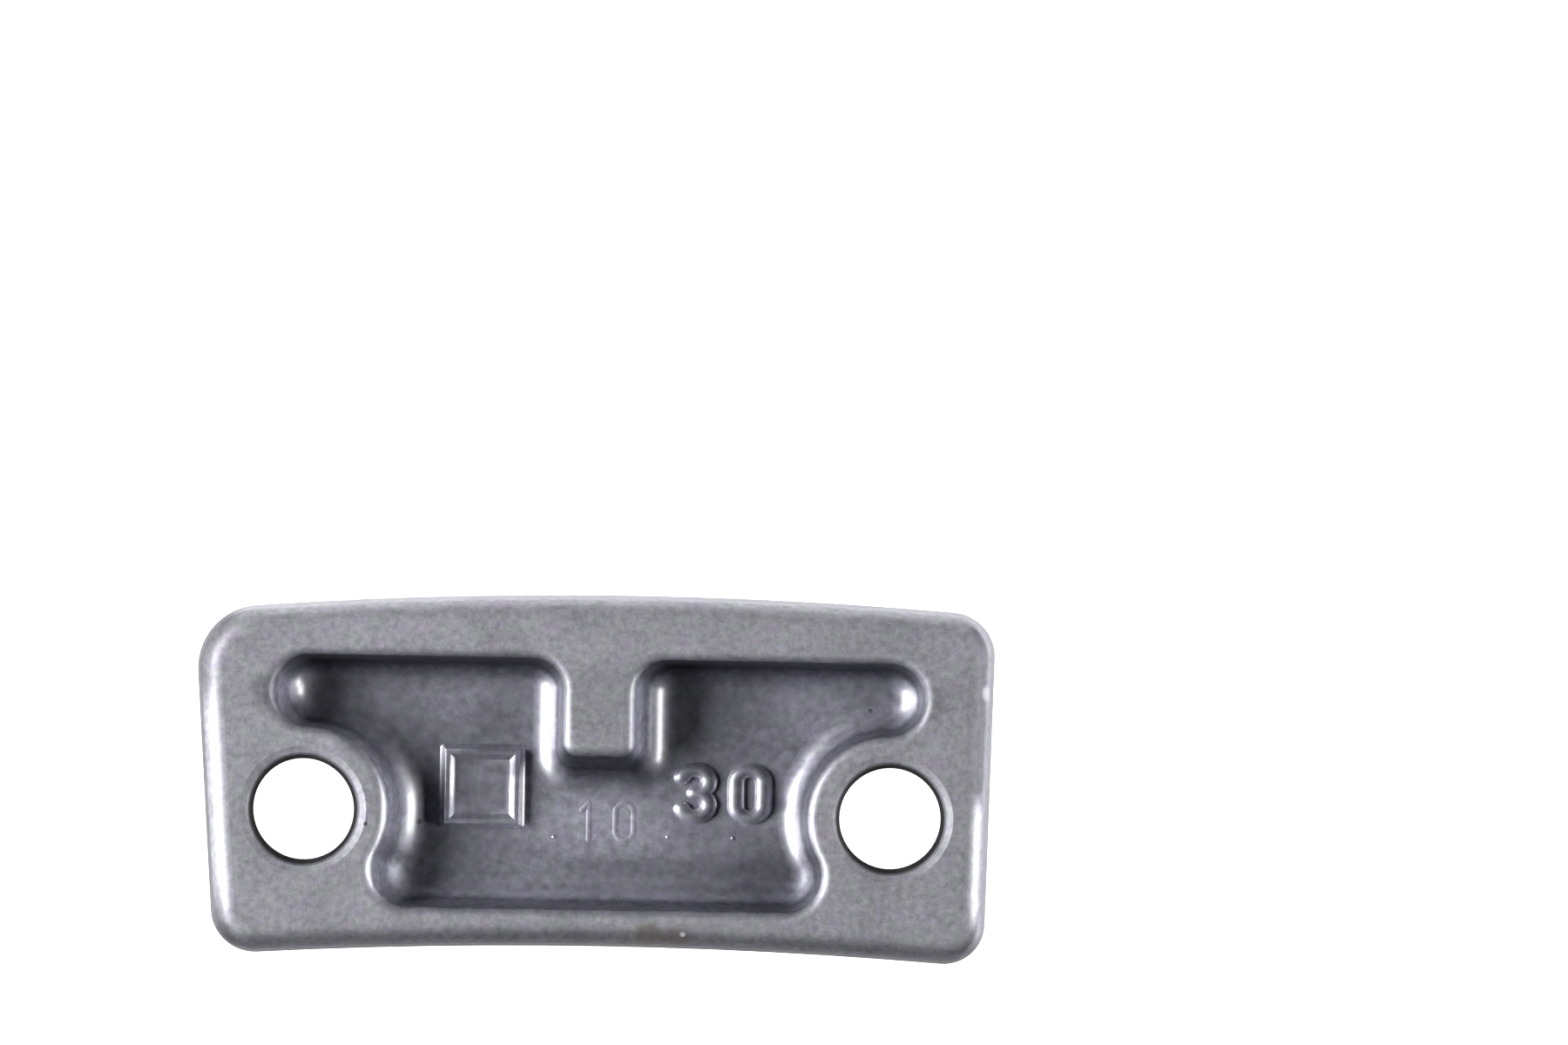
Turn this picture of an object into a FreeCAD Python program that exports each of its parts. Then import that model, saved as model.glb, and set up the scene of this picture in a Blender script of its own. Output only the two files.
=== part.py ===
import FreeCAD
import Part
import math
import os

# Bolt-on wheel balance weight, die-cast in zinc alloy as one piece.
# The frame: the origin is midway between the two bolt holes on the flat back face,
# X runs along the weight, Y points to its long convex edge and Z out of the cored front.
# All sizes are in millimetres and all angles in degrees.

# Slab: a flat-backed plate between two long arcs and two nearly straight ends
thickness = 6.3
outer_edge = 13.8           # hole line to the long convex edge, on the centre line
outer_edge_radius = 285.0
outer_edge_shift = 2.0      # how far the convex arc's centre lies to the right
inner_edge = 8.4            # hole line to the long concave edge, on the centre line
inner_edge_radius = 320.0
end_margin = 6.25           # hole axis to the end of the slab, on the hole line
left_end_lean = 4.0
right_end_lean = 1.2
slab_draft = 2.5
outer_left_corner = 4.0
outer_right_corner = 2.8
inner_left_corner = 2.8
inner_right_corner = 2.6
front_edge_round = 1.4
back_edge_break = 0.2

# Bolt holes: a straight bore from the back, then a steep lead-in and a broken mouth
hole_spacing = 37.0
hole_radius = 3.2
hole_flare = 0.28           # how much wider the hole is at the front face
hole_lead = 1.6             # height of the lead-in
hole_mouth_break = 0.6

# Cored pocket in the front face, which leaves a rim, two bosses and a central tongue
web = 2.1                   # metal left between the pocket's floor and the back face
outer_rim = 4.0             # pocket to the convex edge, on the centre line
inner_rim = 2.3             # pocket to the concave edge, on the centre line
boss_wall = 1.7             # metal round each bolt hole, at the front face
horn_inset = 0.2            # the horn's end is centred this far inboard of the bolt hole
lower_corner = 2.4
tongue_width = 4.3
tongue_end = 3.75           # hole line to the tip of the tongue
tongue_root_round = 2.1
tongue_tip_round = 0.8
wall_draft = 7.0
floor_round = 1.65
mouth_round = 0.65

# Raised square pad on the pocket's floor
pad_side = 4.8
pad_centre_x = -7.25
pad_centre_y = 1.6
pad_height = 0.7
pad_draft = 12.0
pad_edge_round = 0.4

# Places worked out from the sizes above
half_spacing = hole_spacing / 2
half_tongue = tongue_width / 2
pocket_top = outer_edge - outer_rim
pocket_bottom = inner_rim - inner_edge
hole_front_radius = hole_radius + hole_flare
boss_radius = hole_front_radius + boss_wall
narrow_rim = min(inner_rim, outer_rim) - thickness * math.tan(math.radians(slab_draft))
edge_share = 0.7            # the most of the narrow rim that the front edge's round may take
mouth_share = 0.33          # the most of it that the pocket's mouth may take
bend_share = 0.95           # the most of a bend that a round along it may take
overshoot = 1.0             # how far a cutting tool stands out of the metal
quarter = math.radians(90)
upright = FreeCAD.Vector(0, 0, 1)


def point(x, y, z=0.0):
    return FreeCAD.Vector(x, y, z)


# A straight run of an outline, seen from above
class Straight:
    def __init__(self, start, end):
        self.start = start
        self.end = end

    def edge(self, height):
        lift = point(0, 0, height)
        return Part.LineSegment(self.start + lift, self.end + lift).toShape()

    def sweep(self, rise):
        return rise.extrude(self.end - self.start)

    def mirrored(self):
        return Straight(point(-self.end.x, self.end.y), point(-self.start.x, self.start.y))


# A run along an arc of an outline, from one angle to another about its centre
class Bend:
    def __init__(self, centre, radius, start_angle, end_angle):
        self.centre = centre
        self.radius = radius
        self.start_angle = start_angle
        self.end_angle = end_angle
        self.start = self.place(start_angle)
        self.end = self.place(end_angle)

    def place(self, angle):
        return self.centre + point(math.cos(angle), math.sin(angle)) * self.radius

    def edge(self, height):
        lift = point(0, 0, height)
        middle = self.place((self.start_angle + self.end_angle) / 2)
        return Part.Arc(self.start + lift, middle + lift, self.end + lift).toShape()

    def sweep(self, rise):
        return rise.revolve(self.centre, upright, math.degrees(self.end_angle - self.start_angle))

    def reversed(self):
        return Bend(self.centre, self.radius, self.end_angle, self.start_angle)

    def mirrored(self):
        centre = point(-self.centre.x, self.centre.y)
        return Bend(centre, self.radius, 2 * quarter - self.end_angle, 2 * quarter - self.start_angle)


# A curve through poles: straight for two, and for three the arc that rounds the corner at the middle one
def rise_through(poles):
    if len(poles) == 2:
        return Part.LineSegment(*poles).toShape()
    start, corner, end = poles
    half = (start - corner).getAngle(end - corner) / 2
    inward = ((start + end) / 2 - corner).normalize()
    middle = corner + inward * (start - corner).Length * (1 - math.sin(half)) / math.cos(half)
    return Part.Arc(start, middle, end).toShape()


# The round of a profile's corner, as the three poles of its arc. A profile's points are inset and height.
def corner_round(before, corner, after, radius):
    back = (before - corner).normalize()
    ahead = (after - corner).normalize()
    reach = radius / math.tan(back.getAngle(ahead) / 2)
    return [corner + back * reach, corner, corner + ahead * reach]


# A solid whose side is a profile carried round an outline. The outline at each inset comes from section.
def swept_solid(section, profile):
    faces = []
    for piece in profile:
        for runs in zip(*(section(place.x) for place in piece)):
            poles = [run.start + point(0, 0, place.y) for run, place in zip(runs, piece)]
            faces.append(runs[0].sweep(rise_through(poles)))
    for place in (profile[0][0], profile[-1][-1]):
        faces.append(Part.Face(Part.Wire([run.edge(place.y) for run in section(place.x)])))
    shell = Part.Shell(faces)
    shell.sewShape()
    outward_faces = Part.Solid(shell).Faces
    return Part.Solid(Part.Shell(outward_faces))


# Where the line through start, followed along direction, leaves the circle
def line_leaves_circle(start, direction, centre, radius):
    offset = start - centre
    along = offset.dot(direction)
    reach = math.sqrt(along**2 - offset.dot(offset) + radius**2)
    return start + direction * (reach - along)


def angle_of(centre, place):
    return math.atan2(place.y - centre.y, place.x - centre.x)


# The two rounded corners at one end of the slab, the outer and then the inner
def end_corners(side, lean, outer_radius, inner_radius, outer_centre, inner_centre, inset):
    tilt = math.radians(lean)
    along = point(side * math.sin(tilt), math.cos(tilt))
    facing = -tilt if side > 0 else 2 * quarter + tilt
    outward = point(math.cos(facing), math.sin(facing))
    end = point(side * (half_spacing + end_margin), 0)
    outer_start = end - outward * outer_radius
    inner_start = end - outward * inner_radius
    outer = line_leaves_circle(outer_start, along, outer_centre, outer_edge_radius - outer_radius)
    inner = line_leaves_circle(inner_start, along, inner_centre, inner_edge_radius + inner_radius)
    inner_turn = angle_of(inner_centre, inner) - side * 2 * quarter
    return (
        Bend(outer, outer_radius - inset, angle_of(outer_centre, outer), facing),
        Bend(inner, inner_radius - inset, facing, inner_turn),
    )


# The slab's outline, drawn in by inset
def slab_section(inset):
    outer_centre = point(outer_edge_shift, outer_edge - outer_edge_radius)
    inner_centre = point(0, -inner_edge - inner_edge_radius)
    outer_left, inner_left = end_corners(
        -1, left_end_lean, outer_left_corner, inner_left_corner, outer_centre, inner_centre, inset)
    outer_right, inner_right = end_corners(
        1, right_end_lean, outer_right_corner, inner_right_corner, outer_centre, inner_centre, inset)
    inner_start = angle_of(inner_centre, inner_right.centre)
    inner_end = angle_of(inner_centre, inner_left.centre)
    return [
        Bend(outer_centre, outer_edge_radius - inset, outer_left.start_angle, outer_right.start_angle),
        outer_right,
        Straight(outer_right.end, inner_right.start),
        inner_right,
        Bend(inner_centre, inner_edge_radius + inset, inner_start, inner_end),
        inner_left.reversed(),
        Straight(inner_left.start, outer_left.end),
        outer_left.reversed(),
    ]


# The slab: a broken back edge, a drafted side and a front edge that is rounded as far as the rim allows
def make_slab():
    slope = math.tan(math.radians(slab_draft))
    low = point(back_edge_break * slope, back_edge_break)
    high = point(thickness * slope, thickness)
    front = corner_round(low, high, high + point(1, 0), min(front_edge_round, edge_share * narrow_rim))
    back = point(low.x + back_edge_break, 0)
    return swept_solid(slab_section, [[back, low], [low, front[0]], front])


# The pocket's outline: from the tongue's tip up its right side, round the right horn and boss
# to the lower corner, and back along the mirrored left half
def pocket_section(inset):
    boss = point(half_spacing, 0)
    level = boss_radius + pocket_top
    horn = point(half_spacing - horn_inset, (level**2 - horn_inset**2) / (2 * level))
    corner_y = pocket_bottom + lower_corner
    corner = point(half_spacing - math.sqrt((boss_radius + lower_corner)**2 - corner_y**2), corner_y)
    tip = point(half_tongue - tongue_tip_round, tongue_end + tongue_tip_round)
    root = point(half_tongue + tongue_root_round, pocket_top - tongue_root_round)
    horn_turn = angle_of(horn, boss)
    corner_turn = angle_of(corner, boss)
    tip_bend = Bend(tip, tongue_tip_round + inset, -quarter, 0)
    root_bend = Bend(root, tongue_root_round - inset, 2 * quarter, quarter)
    horn_bend = Bend(horn, pocket_top - horn.y - inset, quarter, horn_turn)
    boss_bend = Bend(boss, boss_radius + inset, horn_turn + 2 * quarter, corner_turn + 2 * quarter)
    corner_bend = Bend(corner, lower_corner - inset, corner_turn, -quarter)
    right = [
        tip_bend,
        Straight(tip_bend.end, root_bend.start),
        root_bend,
        Straight(root_bend.end, horn_bend.start),
        horn_bend,
        boss_bend,
        corner_bend,
    ]
    left = [run.mirrored() for run in reversed(right)]
    bottom = Straight(right[-1].end, left[0].start)
    tongue_face = Straight(left[-1].end, right[0].start)
    return right + [bottom] + left + [tongue_face]


# The core that leaves the pocket: a rounded floor, a drafted wall and a mouth that flares into
# the front face. Its rounds are limited by the tightest bends of the wall and by the narrow rim.
def make_core():
    low = point((thickness - web) * math.tan(math.radians(wall_draft)), web)
    high = point(0, thickness)
    hollow_bends = [
        deep.radius for deep, shallow in zip(pocket_section(low.x), pocket_section(high.x))
        if isinstance(deep, Bend) and deep.radius < shallow.radius
    ]
    floor_limit = bend_share * min(hollow_bends) * math.tan(math.radians(90 + wall_draft) / 2)
    mouth_limit = min(mouth_share * narrow_rim, bend_share * tongue_tip_round)
    floor = corner_round(low + point(1, 0), low, high, min(floor_round, floor_limit))
    mouth = corner_round(low, high, high - point(1, 0), min(mouth_round, mouth_limit))
    clear = [mouth[-1], mouth[-1] + point(0, overshoot)]
    return swept_solid(pocket_section, [floor, [floor[-1], mouth[0]], mouth, clear])


# One bolt hole's cutter, turned about the hole's axis: the straight bore, the lead-in cone
# and the broken mouth. A profile's points are radius and height here.
def make_hole_core(x):
    bore = point(hole_radius, thickness - hole_lead)
    front = point(hole_front_radius, thickness)
    mouth = corner_round(bore, front, front + point(1, 0), hole_mouth_break)
    foot = point(hole_radius, -overshoot)
    clear = mouth[-1] + point(0, overshoot)
    waist = (mouth[0] + mouth[1] * 2 + mouth[2]) / 4
    corners = [point(0, foot.y), foot, bore, mouth[0], waist, mouth[-1], clear, point(0, clear.y)]
    outline = Part.makePolygon([point(x + place.x, 0, place.y) for place in corners], True)
    return Part.Face(outline).revolve(point(x, 0), upright, 360)


# The raised pad with a rounded edge, which reaches into the web so that the two become one solid
def make_pad():
    slope = math.tan(math.radians(pad_draft))
    sunk = web / 2
    low = pad_side / 2 + sunk * slope
    high = pad_side / 2 - pad_height * slope
    pad = Part.makeWedge(-low, 0, -low, -high, -high, low, sunk + pad_height, low, high, high)
    pad.rotate(point(0, 0), point(1, 0), 90)
    pad.translate(point(pad_centre_x, pad_centre_y, web - sunk))
    top_face = max(pad.Faces, key=lambda face: face.CenterOfMass.z)
    return pad.makeFillet(pad_edge_round, top_face.Edges)


def make_weight():
    weight = make_slab().cut(make_core())
    for x in (-half_spacing, half_spacing):
        weight = weight.cut(make_hole_core(x))
    return weight.fuse(make_pad())


os.makedirs("parts", exist_ok=True)
weight = make_weight()
print("valid", weight.isValid(), "solids", len(weight.Solids), "volume", round(weight.Volume, 1))
weight.exportStep("parts/balance_weight.step")
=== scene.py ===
import math

import bmesh
import bpy
from mathutils import Matrix, Vector


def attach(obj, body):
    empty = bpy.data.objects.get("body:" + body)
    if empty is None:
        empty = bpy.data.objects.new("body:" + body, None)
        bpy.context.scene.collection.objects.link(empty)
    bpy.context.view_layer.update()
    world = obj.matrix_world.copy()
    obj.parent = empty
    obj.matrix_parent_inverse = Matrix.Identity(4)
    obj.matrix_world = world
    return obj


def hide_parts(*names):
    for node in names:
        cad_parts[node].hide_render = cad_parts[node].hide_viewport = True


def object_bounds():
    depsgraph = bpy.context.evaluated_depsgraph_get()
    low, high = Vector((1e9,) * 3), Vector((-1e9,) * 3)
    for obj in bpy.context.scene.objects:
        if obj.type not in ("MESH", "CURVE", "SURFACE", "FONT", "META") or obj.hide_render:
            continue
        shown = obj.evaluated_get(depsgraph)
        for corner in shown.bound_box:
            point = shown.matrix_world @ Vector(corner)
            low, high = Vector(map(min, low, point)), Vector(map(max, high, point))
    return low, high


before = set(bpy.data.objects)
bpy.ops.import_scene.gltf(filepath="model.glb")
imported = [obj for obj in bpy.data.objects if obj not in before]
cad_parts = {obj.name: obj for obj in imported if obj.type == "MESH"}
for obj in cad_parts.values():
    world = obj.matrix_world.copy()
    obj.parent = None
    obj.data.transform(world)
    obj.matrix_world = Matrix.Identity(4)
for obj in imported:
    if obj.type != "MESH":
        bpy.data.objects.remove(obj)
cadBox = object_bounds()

mm = 0.001
weld = 0.0005 * mm          # points closer than this are one
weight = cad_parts["balance_weight"]
print("frame loaded:", len(weight.data.polygons), "faces")


def grey(level):
    return (level, level, level, 1.0)


# Shader arithmetic: a wire is one output socket, and an expression on wires adds Math nodes
class Wire:
    def __init__(self, finish, socket):
        self.finish = finish
        self.socket = socket

    def math(self, operation, first, second=0.0):
        return self.finish.add("Math", {"operation": operation}, {0: first, 1: second})

    def __add__(self, other):
        return self.math("ADD", self, other)

    def __sub__(self, other):
        return self.math("SUBTRACT", self, other)

    def __rsub__(self, other):
        return self.math("SUBTRACT", other, self)

    def __mul__(self, other):
        return self.math("MULTIPLY", self, other)

    def __abs__(self):
        return self.math("ABSOLUTE", self)

    __radd__ = __add__
    __rmul__ = __mul__


# A node material under construction
class Finish:
    def __init__(self, name):
        self.material = bpy.data.materials.new(name)
        self.material.use_nodes = True
        self.nodes = self.material.node_tree.nodes
        self.links = self.material.node_tree.links
        self.nodes.clear()

    # One node: its settings are set first, then its sockets are given values or wires
    def add(self, kind, settings=None, sockets=None, output=0):
        node = self.nodes.new("ShaderNode" + kind)
        for key, value in (settings or {}).items():
            if key == "stops":
                self.setStops(node.color_ramp, value)
            else:
                setattr(node, key, value)
        for key, value in (sockets or {}).items():
            socket = node.inputs[key]
            if isinstance(value, Wire):
                self.links.new(value.socket, socket)
            else:
                socket.default_value = value
        return Wire(self, node.outputs[output]) if node.outputs else None

    # A ramp's two stops, each a position and a level of grey
    def setStops(self, ramp, stops):
        for element, (position, level) in zip(ramp.elements, stops):
            element.position = position
            element.color = grey(level)

    # Object coordinates in millimetres
    def place(self):
        metres = self.add("TexCoord", output="Object")
        return self.add("VectorMath", {"operation": "SCALE"}, {0: metres, "Scale": 1 / mm})

    def part(self, vector, axis):
        return self.add("SeparateXYZ", None, {0: vector}, axis)

    def noise(self, place, size, detail, roughness):
        sockets = {"Vector": place, "Scale": 1 / size, "Detail": detail, "Roughness": roughness}
        return self.add("TexNoise", None, sockets)

    # Rises straight from black at the first value to white at the second
    def ramp(self, value, low, high):
        return self.add("ValToRGB", {"stops": [(low, 0.0), (high, 1.0)]}, {"Fac": value})

    # Rises smoothly from 0 at the first value to 1 at the second
    def rise(self, value, low, high):
        sockets = {"Value": value, "From Min": low, "From Max": high}
        return self.add("MapRange", {"interpolation_type": "SMOOTHSTEP"}, sockets)

    def distance(self, place, spot):
        return self.add("VectorMath", {"operation": "DISTANCE"}, {0: place, 1: spot}, "Value")

    def multiply(self, vector, factors):
        return self.add("VectorMath", {"operation": "MULTIPLY"}, {0: vector, 1: factors})

    # A Mix node's colours are its sockets 6 and 7 and its output 2
    def mixColour(self, factor, first, second, blend="MIX"):
        settings = {"data_type": "RGBA", "blend_type": blend, "clamp_factor": True}
        return self.add("Mix", settings, {0: factor, 6: first, 7: second}, 2)

    # A colour that takes on a tint where the mask is 1
    def tinted(self, mask, colour, tint):
        return self.mixColour(mask, colour, self.mixColour(1.0, colour, tint, "MULTIPLY"))

    def output(self, shader):
        self.add("OutputMaterial", None, {"Surface": shader})
        return self.material


# Satin zinc: a tumbled casting with a clear seal, which is whole in the pocket and worn thin outside.
# Lengths are in mm, and a pair of bare numbers says where an effect begins and where it is whole
zinc = {
    "light": (0.59, 0.58, 0.635, 1.0),
    "dark": (0.34, 0.34, 0.37, 1.0),
    "cloud": {"size": 3.2, "detail": 3.0, "roughness": 0.55},
    "mottle": {"size": 0.45, "detail": 2.0, "roughness": 0.5},
    "grain": {"size": 0.16, "detail": 2.0, "roughness": 0.6},
    "toneShares": (0.25, 0.45, 0.3),        # shares of those three in the tone
    "toneRange": (0.36, 0.64),              # tones that are dark and light
    "warm": (1.01, 0.975, 1.05, 1.0),       # two tints that drift over the surface
    "cool": (0.975, 1.015, 0.985, 1.0),
    "drift": {"size": 0.8, "detail": 1.0, "roughness": 0.5},
    "driftRange": (0.4, 0.6),
    "recess": (0.86, 0.86, 0.935, 1.0),     # painted shade: tint that darkens the pocket against the front face
    "blotch": {"size": 0.7, "detail": 2.0, "roughness": 0.5},       # blotches in the pocket
    "blotchDepth": 0.9,
    "bore": (0.22, 0.215, 0.21, 1.0),       # painted shade on the bolt holes' walls
    "boreSpacing": 37.0,
    "boreEdge": (3.38, 3.54),               # distance from a hole's axis where it fades and is gone
    "roughness": 0.54,
    "roughnessSwing": 0.06,
    "metallic": 0.7,
    "seal": 1.0,                            # weight of the seal in the pocket
    "worn": 0.2,                            # weight of the seal outside
    "sealRoughness": 0.32,
    "sealIndex": 3.6,
    "steepShade": (0.42, 0.42, 0.43, 1.0),       # painted shade on the pocket's steep walls
    "steepness": (0.35, 0.78),                # upright part of the normal for the painted shade and the seal on those walls
    "bright": (0.1, 0.6),                   # right part of the normal for walls that lose some of the painted shade
    "brightShare": 0.55,                    # share that they lose
    "nearShadeTint": (0.38, 0.38, 0.39, 1.0),       # painted shade on walls that face the near side
    "nearShadeRange": (0.07, 0.8),                 # near part of the normal for that painted shade
    "nearEdge": (6.2, 6.8),                 # place towards the near side for that painted shade outside
    "turned": (0.15, 0.6),                  # right or left part of the normal for the edges of the two ends
    "rightEdge": {
        "tint": (0.35, 0.35, 0.36, 1.0),    # painted shade that dims the edge
        "middle": -2.6,                     # place along the edge where it has no painted shade and stays bright
        "reach": (2.6, 4.6),                # distance from there for the painted shade
        "steep": (-1.0, -0.5),              # upright part of the normal for what keeps its glint
        "sides": (0.4, 0.7),                # upright part of the normal for the painted shade
    },
    "leftEdge": {
        "tint": (0.45, 0.45, 0.45, 1.0),
        "middle": 0.8,
        "reach": (4.6, 7.6),
        "steep": (0.15, 0.5),
        "sides": (-1.0, -0.5),
    },
    "floorSheen": (1.55, 1.55, 1.53, 1.0),      # painted sheen: tint that brightens the middle of the pocket's floor like a broad reflection
    "floorSheenSpot": (-0.3, -0.6, 2.1),
    "floorSheenShape": (1.0, 2.6, 1.0),         # above 1 is narrower that way
    "floorSheenReach": (1.0, 7.5),              # distance from that spot where the painted sheen fades and is gone
    "paintedLightPatches": [                            # painted light and shade: place, inner and outer reach, tint and share of the seal
        ((-12.7, -3.9, 3.0), (0.9, 2.2), 0.8, 0.1),
        ((13.1, -3.9, 3.0), (0.9, 2.3), 0.8, 0.1),
        ((12.9, 2.7, 3.0), (0.8, 2.4), 0.85, 0.3),
        ((11.6, 0.8, 2.4), (0.25, 0.8), 0.5, 0.15),
        ((-20.75, 7.4, 6.1), (0.7, 1.6), 0.65, 0.3),
        ((20.9, 7.3, 6.1), (0.7, 1.6), 0.75, 0.4),
        ((-17.5, 5.2, 6.3), (1.2, 3.2), 1.17, 1.0),
        ((10.6, -3.3, 2.2), (0.8, 3.6), 0.6, 0.6),
        ((13.5, 7.0, 2.2), (0.8, 3.2), 1.3, 1.0),
        ((-6.5, 5.6, 2.2), (0.6, 2.4), 0.82, 1.0),
        ((-9.0, 7.4, 2.2), (0.8, 3.0), 1.2, 1.0),
        ((-9.9, -0.2, 2.3), (0.9, 2.2), 1.05, 0.15),
        ((-5.5, 2.75, 2.75), (0.3, 0.9), 0.7, 0.1),
        ((-9.2, -5.1, 3.6), (0.6, 2.6), 1.3, 1.0),
        ((0.0, 7.0, 6.3), (1.2, 3.2), 0.88, 1.0),
    ],
    "lightShadeBands": [                              # painted light and shade in bands along the near wall: line, reach, tint and start
        (3.4, (0.2, 1.1), 0.68, (-5.0, 3.0)),
        (5.2, (0.15, 0.65), 1.35, (-14.0, -9.0)),
    ],
    "marks": {
        "pit": (0.02, 0.02, 0.02, 1.0),
        "brown": (0.15, 0.115, 0.07, 1.0),
        # near-white: painted glints on small specks and on the nick in the right edge
        "glint": (0.95, 0.95, 0.96, 1.0),
    },
    "specks": [                             # the mark, its place and radius and how well it covers
        ("pit", (17.15, 6.80, 2.2), 0.22, 0.8),
        ("pit", (-14.55, -0.85, 6.3), 0.20, 0.8),
        ("pit", (-11.20, -0.70, 2.3), 0.30, 0.8),
        ("pit", (4.05, 3.85, 2.3), 0.28, 0.8),
        ("brown", (3.4, -7.55, 6.1), 1.2, 0.5),
        ("brown", (5.2, -7.75, 6.0), 1.3, 0.4),
        ("glint", (5.55, -7.5, 6.15), 0.24, 0.75),
        ("glint", (0.2, -6.6, 6.3), 0.24, 0.3),
        ("glint", (24.65, 8.0, 5.7), 0.7, 0.35),
    ],
    "speckCore": 0.4,                       # share of a speck's radius that is even
    "reliefShares": (0.7, 0.3),             # shares of the mottle and the grain in the relief
    "reliefDepth": 0.012,
    "reliefStrength": 0.6,
}


def makeZinc():
    finish = Finish("satin_zinc")
    place = finish.place()
    cloud = finish.noise(place, **zinc["cloud"])
    mottle = finish.noise(place, **zinc["mottle"])
    grain = finish.noise(place, **zinc["grain"])
    cloudShare, mottleShare, grainShare = zinc["toneShares"]
    tone = cloud * cloudShare + mottle * mottleShare + grain * grainShare
    front = finish.mixColour(finish.ramp(tone, *zinc["toneRange"]), zinc["dark"], zinc["light"])
    drift = finish.ramp(finish.noise(place, **zinc["drift"]), *zinc["driftRange"])
    tint = finish.mixColour(drift, zinc["warm"], zinc["cool"])
    front = finish.mixColour(1.0, front, tint, "MULTIPLY")
    recess = finish.add("Attribute", {"attribute_name": "recess"}, None, "Fac")
    wallShading = finish.add("Attribute", {"attribute_name": "wallShading"}, None, "Fac")
    # Painted shade: the pocket is tinted darker than the front face
    colour = finish.tinted(recess, front, zinc["recess"])
    blotch = finish.noise(place, **zinc["blotch"]) - 0.5        # swings to either side of 0
    colour = finish.mixColour(1.0, colour, 1 + blotch * recess * zinc["blotchDepth"], "MULTIPLY")

    # Painted shade darkens the walls of the two bolt holes, which also lose the seal: both axes fall on one
    # when the place loses its sign and its height
    unsigned = finish.add("VectorMath", {"operation": "ABSOLUTE"}, {0: place})
    flat = finish.multiply(unsigned, (1, 1, 0))
    axisDistance = finish.distance(flat, (zinc["boreSpacing"] / 2, 0, 0))
    bore = 1 - finish.rise(axisDistance, *zinc["boreEdge"])
    colour = finish.tinted(bore, colour, zinc["bore"])

    # Painted sheen brightens the middle of the pocket's floor, and painted patches of light and shade are
    # lighter or duller than the rest
    shaped = finish.multiply(place, zinc["floorSheenShape"])
    spot = [at * share for at, share in zip(zinc["floorSheenSpot"], zinc["floorSheenShape"])]
    floorSheen = (1 - finish.rise(finish.distance(shaped, spot), *zinc["floorSheenReach"])) * recess
    colour = finish.tinted(floorSheen, colour, zinc["floorSheen"])
    kept = 1.0
    # each patch paints local light or shade, and may thin the seal
    for spot, reach, level, share in zinc["paintedLightPatches"]:
        patch = 1 - finish.rise(finish.distance(place, spot), *reach)
        colour = finish.tinted(patch, colour, grey(level))
        kept = kept * (1 - patch * (1 - share))
    across = finish.part(place, "X")
    nearPlace = 0 - finish.part(place, "Y")
    # painted shade and light along the pocket's near wall
    for line, reach, level, start in zinc["lightShadeBands"]:
        band = (1 - finish.rise(abs(nearPlace - line), *reach)) * recess * finish.rise(across, *start)
        colour = finish.tinted(band, colour, grey(level))

    # Steep walls of the pocket carry painted shade and have no seal, and painted shade also covers walls
    # that face the near side
    normal = finish.add("TexCoord", output="Normal")
    upright = finish.part(normal, "Z")
    steepShade = (1 - finish.rise(upright, *zinc["steepness"])) * wallShading
    right = finish.part(normal, "X")
    shade = steepShade * (1 - finish.rise(right, *zinc["bright"]) * zinc["brightShare"])
    colour = finish.tinted(shade, colour, zinc["steepShade"])
    near = 0 - finish.part(normal, "Y")
    # Outside the pocket the same painted shade darkens the near edge
    outside = finish.rise(nearPlace, *zinc["nearEdge"])
    nearShade = finish.rise(near, *zinc["nearShadeRange"]) * (outside + wallShading * (1 - outside))
    colour = finish.tinted(nearShade, colour, zinc["nearShadeTint"])

    # Painted shade dims the edges of the two ends and thins their seal, except along a stretch of their
    # length where they keep their glint
    for turn, edge in ((right, zinc["rightEdge"]), (0 - right, zinc["leftEdge"])):
        away = abs(nearPlace + edge["middle"])
        glint = (1 - finish.rise(away, *edge["reach"])) * finish.rise(upright, *edge["steep"])
        edgeShade = finish.rise(turn, *zinc["turned"]) * (1 - recess) * (1 - glint)
        edgeShade = edgeShade * finish.rise(upright, *edge["sides"])
        colour = finish.tinted(edgeShade, colour, edge["tint"])
        kept = kept * (1 - edgeShade)
    for mark, spot, radius, cover in zinc["specks"]:
        speck = 1 - finish.rise(finish.distance(place, spot), radius * zinc["speckCore"], radius)
        colour = finish.mixColour(speck * cover, colour, zinc["marks"][mark])

    seal = zinc["worn"] + recess * (zinc["seal"] - zinc["worn"])
    seal = seal * (1 - steepShade) * (1 - bore) * (1 - nearShade) * kept
    swing = zinc["roughnessSwing"]
    mottleDepth, grainDepth = zinc["reliefShares"]
    bump = finish.add("Bump", None, {
        "Strength": zinc["reliefStrength"],
        "Distance": zinc["reliefDepth"] * mm,
        "Height": mottle * mottleDepth + grain * grainDepth,
    })
    shader = finish.add("BsdfPrincipled", None, {
        "Base Color": colour,
        "Roughness": zinc["roughness"] + (cloud * swing + grain * swing),
        "Metallic": zinc["metallic"],
        "Coat Weight": seal,
        "Coat Roughness": zinc["sealRoughness"],
        "Coat IOR": zinc["sealIndex"],
        "Normal": bump,
    })
    return finish.output(shader)


satinZinc = makeZinc()
print("finish made:", satinZinc.name)


# A value at each vertex that the finish reads
def addValues(mesh, name, values):
    layer = mesh.attributes.new(name, "FLOAT", "POINT")
    layer.data.foreach_set("value", values)


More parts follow.
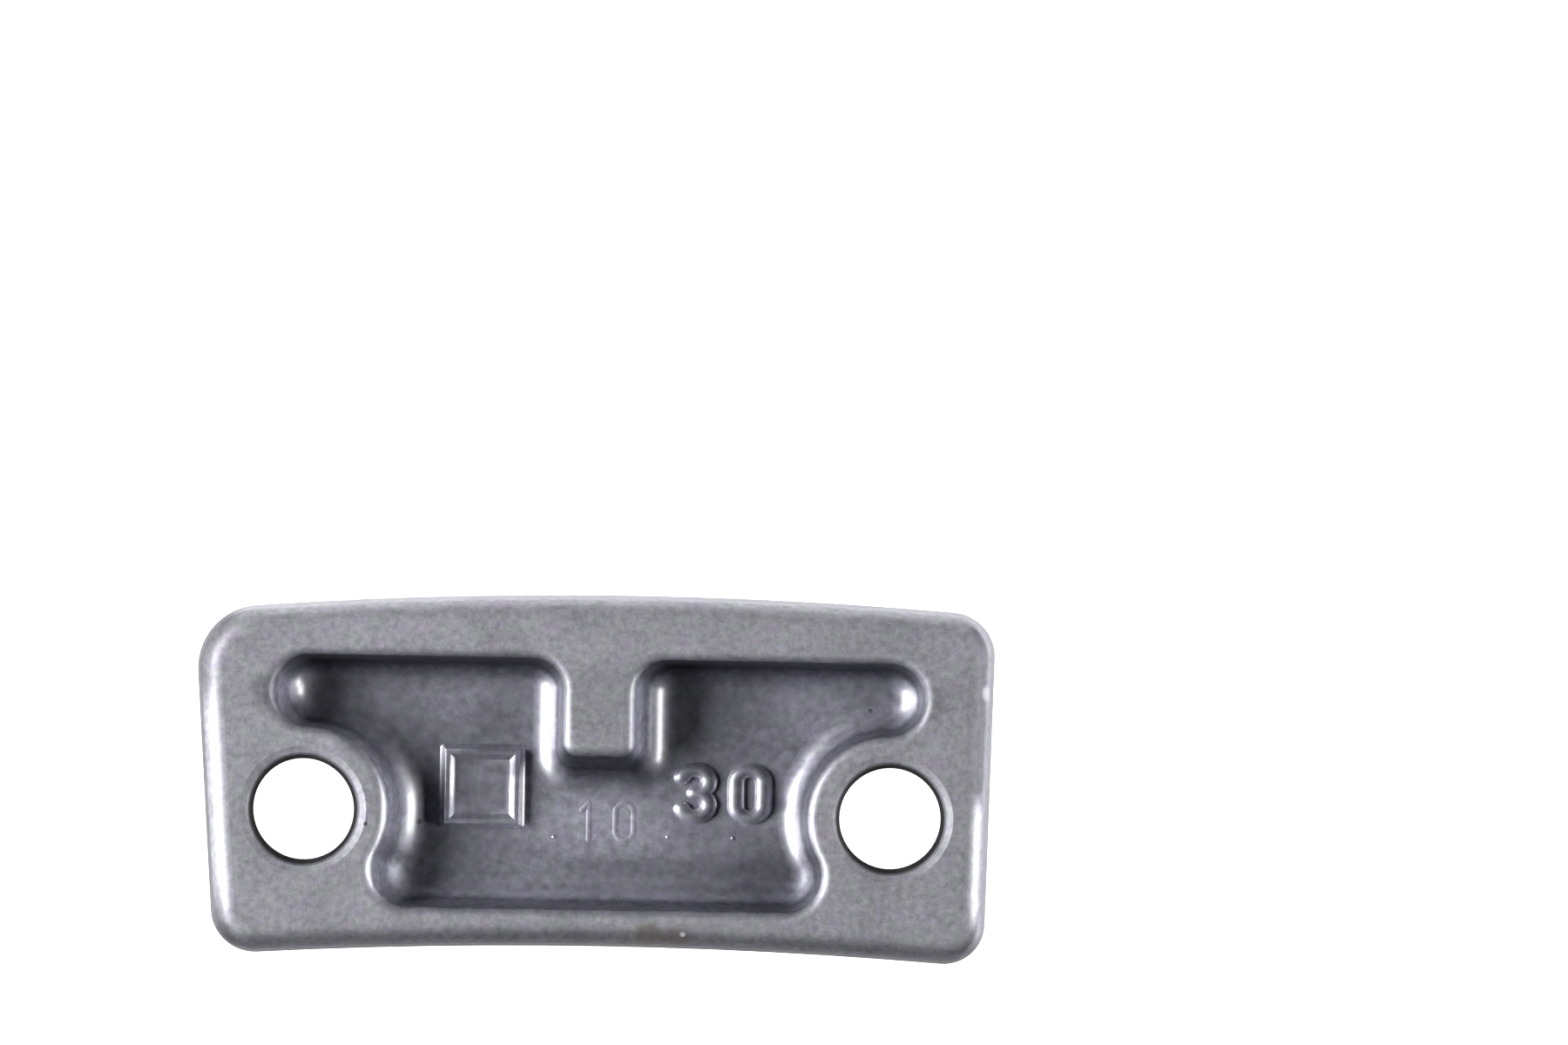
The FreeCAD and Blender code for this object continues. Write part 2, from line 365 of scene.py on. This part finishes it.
# A finished mesh becomes a piece that rides with the part. Its recess is how far it lies in the pocket,
# and its wall shading says where its steep walls take painted shade and lose the seal
def addPiece(name, mesh, recess=None, wallShading=None):
    mesh.name = name
    addValues(mesh, "recess", recess or [1.0] * len(mesh.vertices))
    addValues(mesh, "wallShading", wallShading or [0.0] * len(mesh.vertices))
    mesh.materials.clear()
    mesh.materials.append(satinZinc)
    piece = bpy.data.objects.new(name, mesh)
    bpy.context.scene.collection.objects.link(piece)
    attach(piece, "root")
    return piece


def meshFrom(bm, name):
    bmesh.ops.remove_doubles(bm, verts=bm.verts, dist=weld)
    bmesh.ops.recalc_face_normals(bm, faces=bm.faces)
    for face in bm.faces:
        face.smooth = True
    mesh = bpy.data.meshes.new(name)
    bm.to_mesh(mesh)
    bm.free()
    return mesh


# The casting is the CAD solid with more draft on some of the pocket's walls. A lean is a list of places
# and how far a wall leans there at the floor, in mm, and a reach is the share of a lean across the part
casting = {
    "leanAcross": [(-9.0, 0.9), (-4.6, 0.0), (-1.0, 0.0), (1.2, 0.8), (6.0, 0.8), (10.0, 0.0)],
    "leanAlong": [(-2.2, 0.9), (2.0, 0.0)],                                 # the near wall
    "alongReach": [(-13.0, 0.0), (-9.5, 1.0), (9.5, 1.0), (13.0, 0.0)],
    "leanEnd": [(0.0, 0.0), (2.0, -0.8), (3.9, -0.8), (6.5, 0.0)],          # the tongue's end
    "endReach": [(-6.5, 0.0), (-4.4, 1.0), (4.4, 1.0), (6.5, 0.0)],
    "leanStep": 0.05,           # mm to either side where the lean's slope is taken
    "floor": 2.1,
    "front": 6.3,
    "skin": 0.001,              # mm below the front face where the pocket begins
    "mouth": 0.5,               # mm below the front face where the pocket's finish is whole
}


# A value that swings smoothly between the stations of a list
def valueAt(stations, place):
    if place <= stations[0][0]:
        return stations[0][1]
    for (start, first), (end, last) in zip(stations, stations[1:]):
        if place <= end:
            share = (place - start) / (end - start)
            return first + (last - first) * share * share * (3 - 2 * share)
    return stations[-1][1]


# How far a point of the pocket's wall leans in the plane, for each mm below the front face
def leanAt(x, y):
    across = valueAt(casting["leanAcross"], x)
    along = valueAt(casting["leanAlong"], y) * valueAt(casting["alongReach"], x)
    end = valueAt(casting["leanEnd"], y) * valueAt(casting["endReach"], x)
    return Vector((across, along + end, 0)) / (casting["front"] - casting["floor"])


# What the lean does to a normal there
def turnAt(x, y, drop):
    step = casting["leanStep"]
    alongX = (leanAt(x + step, y) - leanAt(x - step, y)) * drop / (2 * step)
    alongY = (leanAt(x, y + step) - leanAt(x, y - step)) * drop / (2 * step)
    stretch = Matrix((
        Vector((1, 0, 0)) + alongX,
        Vector((0, 1, 0)) + alongY,
        Vector((0, 0, 1)) - leanAt(x, y),
    ))
    return stretch.inverted()


def makeCasting():
    normals = [normal.vector.copy() for normal in weight.data.corner_normals]
    mesh = weight.data.copy()
    bm = bmesh.new()
    bm.from_mesh(mesh)
    bmesh.ops.remove_doubles(bm, verts=bm.verts, dist=weld)

    # The pocket is what can be reached from the middle of its floor without crossing the front face
    front = (casting["front"] - casting["skin"]) * mm
    seed = min(bm.verts, key=lambda vert: (vert.co - Vector((0, 0, casting["floor"] * mm))).length)
    pocket = {seed}
    waiting = [seed]
    while waiting:
        vert = waiting.pop()
        for edge in vert.link_edges:
            other = edge.other_vert(vert)
            if other not in pocket and other.co.z < front:
                pocket.add(other)
                waiting.append(other)

    reach = (pad["side"] / 2 + pad["margin"]) * mm
    centre = Vector(pad["centre"]) * mm
    onPad = [vert for vert in pocket if max(abs(offset) for offset in vert.co.xy - centre) < reach]
    padIndices = {vert.index for vert in onPad}
    leaning = {vert.index for vert in pocket} - padIndices
    for vert in onPad:
        vert.co.z = casting["floor"] * mm       # the pad is a piece of its own
    recess = [0.0] * len(bm.verts)
    turns = {}
    for vert in pocket:
        x, y, z = vert.co / mm
        drop = casting["front"] - z
        recess[vert.index] = min(1.0, drop / casting["mouth"])
        if vert.index in leaning:
            turns[vert.index] = turnAt(x, y, drop)
            vert.co += leanAt(x, y) * drop * mm
    bm.to_mesh(mesh)
    bm.free()
    for loop, normal in zip(mesh.loops, normals):
        if loop.vertex_index in turns:
            normal[:] = (turns[loop.vertex_index] @ normal).normalized()
        elif loop.vertex_index in padIndices:
            normal[:] = (0, 0, 1)
    mesh.normals_split_custom_set(normals)
    piece = addPiece("casting", mesh, recess, recess)
    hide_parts("balance_weight")
    print("casting made:", len(mesh.polygons), "faces,", len(pocket), "points in the pocket")


# The square pad: a block with a narrow border round a hollow field, in mm and degrees
pad = {
    "centre": (-7.25, 1.6),
    "side": 4.8,
    "height": 0.7,
    "margin": 0.1,              # round the solid's own pad, which is flattened
    "edge": 0.12,               # radius of the outer edge
    "edgeSteps": 4,
    "border": 0.22,             # width of the border
    "hollowRadius": 0.95,       # the field's edge: its radius and its slope at the border
    "hollowSlope": 48,
    "hollowSteps": 12,
    "footRadius": 0.65,         # where the pad meets the floor: its radius and its slopes below and above
    "footSlopes": (25, 60),
    "footSteps": 6,
    "footCorner": 1.1,          # radius of the foot's corners as a share of its width
    "footCornerSteps": 6,
    "crease": 30,               # angle above which an edge is sharp
}


# Insets a face step by step along an arc that turns from one slope to another, both in degrees
def insetArc(bm, faces, radius, first, last, steps):
    slopes = [math.radians(first + (last - first) * step / steps) for step in range(steps + 1)]
    for start, end in zip(slopes, slopes[1:]):
        inward = radius * abs(math.sin(end) - math.sin(start))
        rise = radius * (math.cos(start) - math.cos(end))
        bmesh.ops.inset_region(bm, faces=faces, thickness=inward, depth=rise, use_boundary=True,
                               use_even_offset=True)


# A square face on the pocket's floor, round the middle of the pad
def addSquare(bm, half):
    place = Matrix.Translation(Vector((*pad["centre"], casting["floor"])) * mm)
    bmesh.ops.create_grid(bm, x_segments=1, y_segments=1, size=half * mm, matrix=place)


def addPadPiece(name, bm):
    mesh = meshFrom(bm, name)
    mesh.set_sharp_from_angle(angle=math.radians(pad["crease"]))
    addPiece(name, mesh)


def makePad():
    bm = bmesh.new()
    addSquare(bm, pad["side"] / 2)
    grown = bmesh.ops.extrude_face_region(bm, geom=list(bm.faces))["geom"]
    verts = [item for item in grown if isinstance(item, bmesh.types.BMVert)]
    bmesh.ops.translate(bm, verts=verts, vec=(0, 0, pad["height"] * mm))
    bmesh.ops.recalc_face_normals(bm, faces=bm.faces)
    edges = [edge for edge in bm.edges if all(vert in verts for vert in edge.verts)]
    bmesh.ops.bevel(bm, geom=edges, offset=pad["edge"] * mm, offset_type="OFFSET", affect="EDGES",
                    segments=pad["edgeSteps"], profile=0.5, material=-1)
    top = max(bm.faces, key=lambda face: face.calc_center_median().z)
    bmesh.ops.inset_region(bm, faces=[top], thickness=pad["border"] * mm, depth=0, use_even_offset=True)
    insetArc(bm, [top], pad["hollowRadius"] * mm, pad["hollowSlope"], 0, pad["hollowSteps"])
    addPadPiece("pad", bm)


# A hollow fillet with rounded corners between the pad and the floor
def makePadFoot():
    bm = bmesh.new()
    below, above = pad["footSlopes"]
    reach = pad["footRadius"] * (math.sin(math.radians(above)) - math.sin(math.radians(below)))
    addSquare(bm, pad["side"] / 2 + reach)
    bmesh.ops.bevel(bm, geom=list(bm.verts), offset=reach * pad["footCorner"] * mm, offset_type="OFFSET",
                    affect="VERTICES", segments=pad["footCornerSteps"], profile=0.5, material=-1)
    inner = [max(bm.faces, key=lambda face: face.calc_area())]
    insetArc(bm, inner, pad["footRadius"] * mm, below, above, pad["footSteps"])
    bmesh.ops.delete(bm, geom=inner, context="FACES")
    addPadPiece("pad_foot", bm)


makeCasting()
makePad()
makePadFoot()
print("pad made")


# Raised numbers on the pocket's floor, each digit built of round strokes as a ball cutter leaves them.
# The swell is half the height of a stroke, and the rise is what stands above the floor, all in mm
numbers = {
    "raised_number": {
        "digits": "30",
        "centre": (7.9, 1.4),
        "height": 3.9,
        "stroke": 0.95,
        "swell": 0.45,
        "rise": 0.45,
        "gap": 0.5,
        "stretch": 1.18,        # across the part
    },
    "faint_number": {
        "digits": "10",
        "centre": (0.65, -0.5),
        "height": 2.9,
        "stroke": 0.6,
        "swell": 0.1,
        "rise": 0.025,
        "gap": 0.5,
        "stretch": 1.0,
    },
}

# Strokes of a digit one unit high and half a unit wide: an arc is a centre, a radius, a start and a sweep
strokes = {
    "0": [
        ("arc", (0.25, 0.75), 0.25, 0, 180),
        ("line", (0.0, 0.75), (0.0, 0.25)),
        ("arc", (0.25, 0.25), 0.25, 180, 180),
        ("line", (0.5, 0.25), (0.5, 0.75)),
    ],
    "1": [("line", (0.25, 0.0), (0.25, 1.0)), ("line", (0.25, 1.0), (0.05, 0.8))],
    "3": [("arc", (0.25, 0.75), 0.25, 160, -250), ("arc", (0.25, 0.25), 0.25, 90, -250)],
}
strokeBall = {"u_segments": 12, "v_segments": 8}
arcStep = 12        # degrees


# A ball whose front half is pushed along the stroke, which leaves round ends
def addStroke(bm, start, heading, half, push):
    turned = Matrix.Translation(start) @ heading.to_track_quat("Z", "X").to_matrix().to_4x4()
    ball = bmesh.ops.create_uvsphere(bm, **strokeBall, radius=half, matrix=turned)
    faces = dict.fromkeys(face for vert in ball["verts"] for face in vert.link_faces)
    ahead = [face for face in faces if (face.calc_center_median() - start).dot(heading) > 0]
    edges = dict.fromkeys(edge for face in ahead for edge in face.edges)
    verts = dict.fromkeys(vert for face in ahead for vert in face.verts)
    push(ahead + list(edges) + list(verts))


def addLine(bm, start, end, half):
    def push(geom):
        moved = bmesh.ops.extrude_face_region(bm, geom=geom)["geom"]
        verts = [item for item in moved if isinstance(item, bmesh.types.BMVert)]
        bmesh.ops.translate(bm, verts=verts, vec=end - start)
        faces = [item for item in geom if isinstance(item, bmesh.types.BMFace) and item.is_valid]
        bmesh.ops.delete(bm, geom=faces, context="FACES")

    addStroke(bm, start, (end - start).normalized(), half, push)


def addArc(bm, centre, radius, begin, sweep, half):
    around = math.radians(begin)
    outward = Vector((math.cos(around), math.sin(around), 0))
    heading = Vector((-outward.y, outward.x, 0)) * math.copysign(1, sweep)

    def push(geom):
        steps = round(abs(sweep) / arcStep)
        bmesh.ops.spin(bm, geom=geom, cent=centre, axis=(0, 0, 1), angle=math.radians(sweep), steps=steps)

    addStroke(bm, centre + outward * radius, heading, half, push)


def makeNumber(name, number):
    tall = number["height"] - number["stroke"]
    wide = tall / 2
    pitch = wide + number["stroke"] + number["gap"]
    left = -(pitch * (len(number["digits"]) - 1) + wide) / 2
    half = number["stroke"] / 2 * mm
    bm = bmesh.new()
    for place, digit in enumerate(number["digits"]):
        corner = Vector((left + pitch * place, -tall / 2, 0))
        for kind, point, *rest in strokes[digit]:
            first = (corner + Vector((*point, 0)) * tall) * mm
            if kind == "line":
                addLine(bm, first, (corner + Vector((*rest[0], 0)) * tall) * mm, half)
            else:
                radius, begin, sweep = rest
                addArc(bm, first, radius * tall * mm, begin, sweep, half)
    bmesh.ops.scale(bm, verts=bm.verts, vec=(number["stretch"], 1, number["swell"] * mm / half))
    level = casting["floor"] + number["rise"] - number["swell"]
    spot = Vector((*number["centre"], level)) * mm
    bmesh.ops.translate(bm, verts=bm.verts, vec=spot)
    addPiece(name, meshFrom(bm, name))


for name, number in numbers.items():
    makeNumber(name, number)
print("numbers made:", len(numbers))


# Small cast pimples on the pocket's floor: place, radius and rise in mm
pimples = [
    (-2.45, 2.05, 0.14, 0.10),
    (-2.70, -1.50, 0.13, 0.08),
    (4.50, -1.40, 0.12, 0.07),
    (8.60, -1.40, 0.12, 0.08),
]
pimpleBall = {"u_segments": 16, "v_segments": 10}


def makePimples():
    bm = bmesh.new()
    for x, y, radius, rise in pimples:
        place = Matrix.Translation((x * mm, y * mm, casting["floor"] * mm))
        place = place @ Matrix.Diagonal((radius * mm, radius * mm, rise * mm, 1))
        bmesh.ops.create_uvsphere(bm, **pimpleBall, radius=1, matrix=place)
    addPiece("cast_pimples", meshFrom(bm, "cast_pimples"))


makePimples()
print("pimples made:", len(pimples))


# Stage: a pale floor, the lamps and the camera above
stage = {
    "floorSize": 1.2,               # metres
    "floorGrain": {"size": 6.0, "detail": 2.0, "roughness": 0.5},
    "floorTones": (0.86, 0.90),
    "floorRoughness": 0.9,
    "photoWidth": 1800,
    "photoHeight": 1200,
    "pixel": 37.0 / 674.3,          # mm of the part for one pixel of the photograph
    "middle": (684.7, 934.95),      # pixel midway between the two bolt holes
    "turn": 0.977,                  # degrees that the part is turned in the picture
    "distance": 2400.0,             # mm from the camera to the front face
    "sensor": 36.0,
    "clip": (0.01, 5.0),            # metres
    "surroundings": (0.01, 0.01, 0.0105, 1.0),
}


# The camera sees a white floor, and the part is lit by a dimmer one in the same place
floors = {"floor": 1.2, "bounce": 0.12}


def makeFloor(name, glow):
    bm = bmesh.new()
    bmesh.ops.create_grid(bm, x_segments=1, y_segments=1, size=stage["floorSize"] / 2)
    mesh = bpy.data.meshes.new(name)
    bm.to_mesh(mesh)
    bm.free()
    finish = Finish("pale_" + name)
    grain = finish.noise(finish.place(), **stage["floorGrain"])
    colour = finish.mixColour(grain, *[grey(tone) for tone in stage["floorTones"]])
    shader = finish.add("BsdfPrincipled", None, {
        "Base Color": colour,
        "Roughness": stage["floorRoughness"],
        "Emission Color": colour,
        "Emission Strength": glow,
    })
    mesh.materials.append(finish.output(shader))
    floor = bpy.data.objects.new(name, mesh)
    seen = name == "floor"
    floor.visible_camera = seen
    floor.visible_diffuse = not seen
    floor.visible_glossy = not seen
    floor.visible_shadow = False
    bpy.context.scene.collection.objects.link(floor)


def makeCamera():
    turn = math.radians(stage["turn"])
    right = Vector((math.cos(turn), math.sin(turn), 0))
    up = Vector((-math.sin(turn), math.cos(turn), 0))
    across = (stage["photoWidth"] / 2 - stage["middle"][0]) * stage["pixel"]
    above = (stage["middle"][1] - stage["photoHeight"] / 2) * stage["pixel"]
    spot = right * across + up * above
    spot.z = cadBox[1].z / mm + stage["distance"]
    data = bpy.data.cameras.new("camera")
    data.sensor_width = stage["sensor"]
    data.lens = stage["sensor"] * stage["distance"] / (stage["photoWidth"] * stage["pixel"])
    data.clip_start, data.clip_end = stage["clip"]
    camera = bpy.data.objects.new("camera", data)
    camera.location = spot * mm
    camera.rotation_euler = (0, 0, turn)
    bpy.context.scene.collection.objects.link(camera)
    bpy.context.scene.camera = camera


# Each lamp looks at the middle of the part from a bearing and a height in degrees
lamps = {
    "left_key": {"bearing": 178, "height": 31, "distance": 0.45, "size": (0.36, 0.21), "power": 3.3},
    "right_low": {"bearing": 0, "height": 9, "distance": 0.45, "size": (0.42, 0.04), "power": 1.65},
    "right_mid": {"bearing": 0, "height": 25, "distance": 0.45, "size": (0.16, 0.05), "power": 0.4},
    "far_low": {"bearing": 90, "height": -24, "distance": 0.45, "size": (0.75, 0.34), "power": 1.7},
}


def makeLamp(name, bearing, height, distance, size, power):
    data = bpy.data.lights.new(name, "AREA")
    data.shape = "RECTANGLE"
    data.size, data.size_y = size
    data.energy = power
    lamp = bpy.data.objects.new(name, data)
    around = math.radians(bearing)
    rise = math.radians(height)
    away = Vector((math.cos(around) * math.cos(rise), math.sin(around) * math.cos(rise), math.sin(rise)))
    lamp.location = away * distance
    lamp.rotation_mode = "QUATERNION"
    lamp.rotation_quaternion = away.to_track_quat("Z", "Y")
    bpy.context.scene.collection.objects.link(lamp)


def makeWorld():
    world = bpy.data.worlds.new("studio")
    world.use_nodes = True
    world.node_tree.nodes["Background"].inputs["Color"].default_value = stage["surroundings"]
    bpy.context.scene.world = world
    bpy.context.scene.view_settings.view_transform = "Standard"


for name, glow in floors.items():
    makeFloor(name, glow)
makeCamera()
for name, lamp in lamps.items():
    makeLamp(name, **lamp)
makeWorld()
print("stage set:", len(lamps), "lamps")
